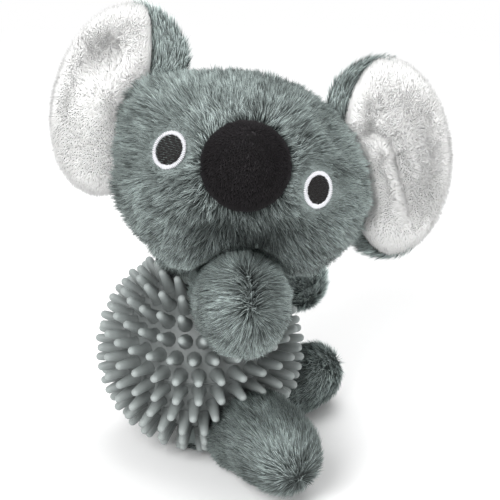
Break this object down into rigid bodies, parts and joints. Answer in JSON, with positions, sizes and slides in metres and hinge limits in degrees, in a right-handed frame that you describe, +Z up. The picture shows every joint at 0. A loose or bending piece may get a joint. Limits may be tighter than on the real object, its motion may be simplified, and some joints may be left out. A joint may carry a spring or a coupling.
{
  "type": "plush koala toy",
  "caption": "Plush koala pet toy: a furry head with big cupped ears and stubby limbs round a spiky rubber ball body.",
  "frame": {"origin": "on the floor under the ball's centre, on the flat seat of the hip gusset", "axes": "+Z up, the face looks along -Y, the toy's own left is +X"},
  "size_m": [0.1668, 0.1283, 0.2008],
  "materials": {
    "fur": "long grey pile",
    "ear_plush": "short white pile",
    "nose_plush": "short black pile",
    "stuffing": "loose polyester fill",
    "dark_thread": "satin stitch",
    "light_thread": "satin stitch",
    "rubber": "satin moulded rubber",
    "squeaker_plastic": "matte"
  },
  "bodies": {
    "ball": {"ball_upper_half": "rubber", "ball_lower_half": "rubber", "neck_collar": "fur", "core_sock": "fur", "core_stuffing_upper": "stuffing", "core_stuffing_lower": "stuffing", "squeaker_body": "squeaker_plastic", "squeaker_reed": "squeaker_plastic", "hip_gusset": "fur"},
    "head": {"head_skin": "fur", "head_stuffing": "stuffing", "neck": "fur", "nose_cover": "nose_plush", "nose_stuffing": "stuffing", "eye_disc_right": "dark_thread", "eye_ring_right": "light_thread", "eye_disc_left": "dark_thread", "eye_ring_left": "light_thread"},
    "arm_right": {"arm_skin_right": "fur", "arm_stuffing_right": "stuffing"},
    "arm_left": {"arm_skin_left": "fur", "arm_stuffing_left": "stuffing"},
    "leg_right": {"leg_skin_right": "fur", "leg_stuffing_right": "stuffing"},
    "leg_left": {"leg_skin_left": "fur", "leg_stuffing_left": "stuffing"},
    "ear_right": {"ear_back_right": "fur", "ear_lining_right": "ear_plush"},
    "ear_left": {"ear_back_left": "fur", "ear_lining_left": "ear_plush"}
  },
  "joints": [
    {"name": "head_turn", "type": "hinge", "parent": "ball", "child": "head", "pos_m": [0, 0, 0.1], "axis": [0, 0, 1], "range_deg": [-12, 12], "stiffness_Nm_per_rad": 0.1},
    {"name": "arm_swing_right", "type": "hinge", "parent": "head", "child": "arm_right", "pos_m": [0, 0, 0.095], "axis": [0, 0, 1], "range_deg": [-10, 10], "stiffness_Nm_per_rad": 0.05},
    {"name": "arm_swing_left", "type": "hinge", "parent": "head", "child": "arm_left", "pos_m": [0, 0, 0.095], "axis": [0, 0, 1], "range_deg": [-10, 10], "stiffness_Nm_per_rad": 0.05},
    {"name": "leg_swing_right", "type": "hinge", "parent": "ball", "child": "leg_right", "pos_m": [0.01499, 0.00099, 0.01], "axis": [0, 0, 1], "range_deg": [-12, 12], "stiffness_Nm_per_rad": 0.05},
    {"name": "leg_swing_left", "type": "hinge", "parent": "ball", "child": "leg_left", "pos_m": [0.01499, 0.00099, 0.01], "axis": [0, 0, 1], "range_deg": [-12, 12], "stiffness_Nm_per_rad": 0.05},
    {"name": "ear_flap_right", "type": "hinge", "parent": "head", "child": "ear_right", "pos_m": [-0.02883, -0.01128, 0.14248], "axis": [0.2588, 0.4082, 0.8754], "range_deg": [-14, 14], "stiffness_Nm_per_rad": 0.03},
    {"name": "ear_flap_left", "type": "hinge", "parent": "head", "child": "ear_left", "pos_m": [0.0678, -0.02222, 0.11901], "axis": [0.2588, 0.4082, 0.8754], "range_deg": [-14, 14], "stiffness_Nm_per_rad": 0.03}
  ]
}
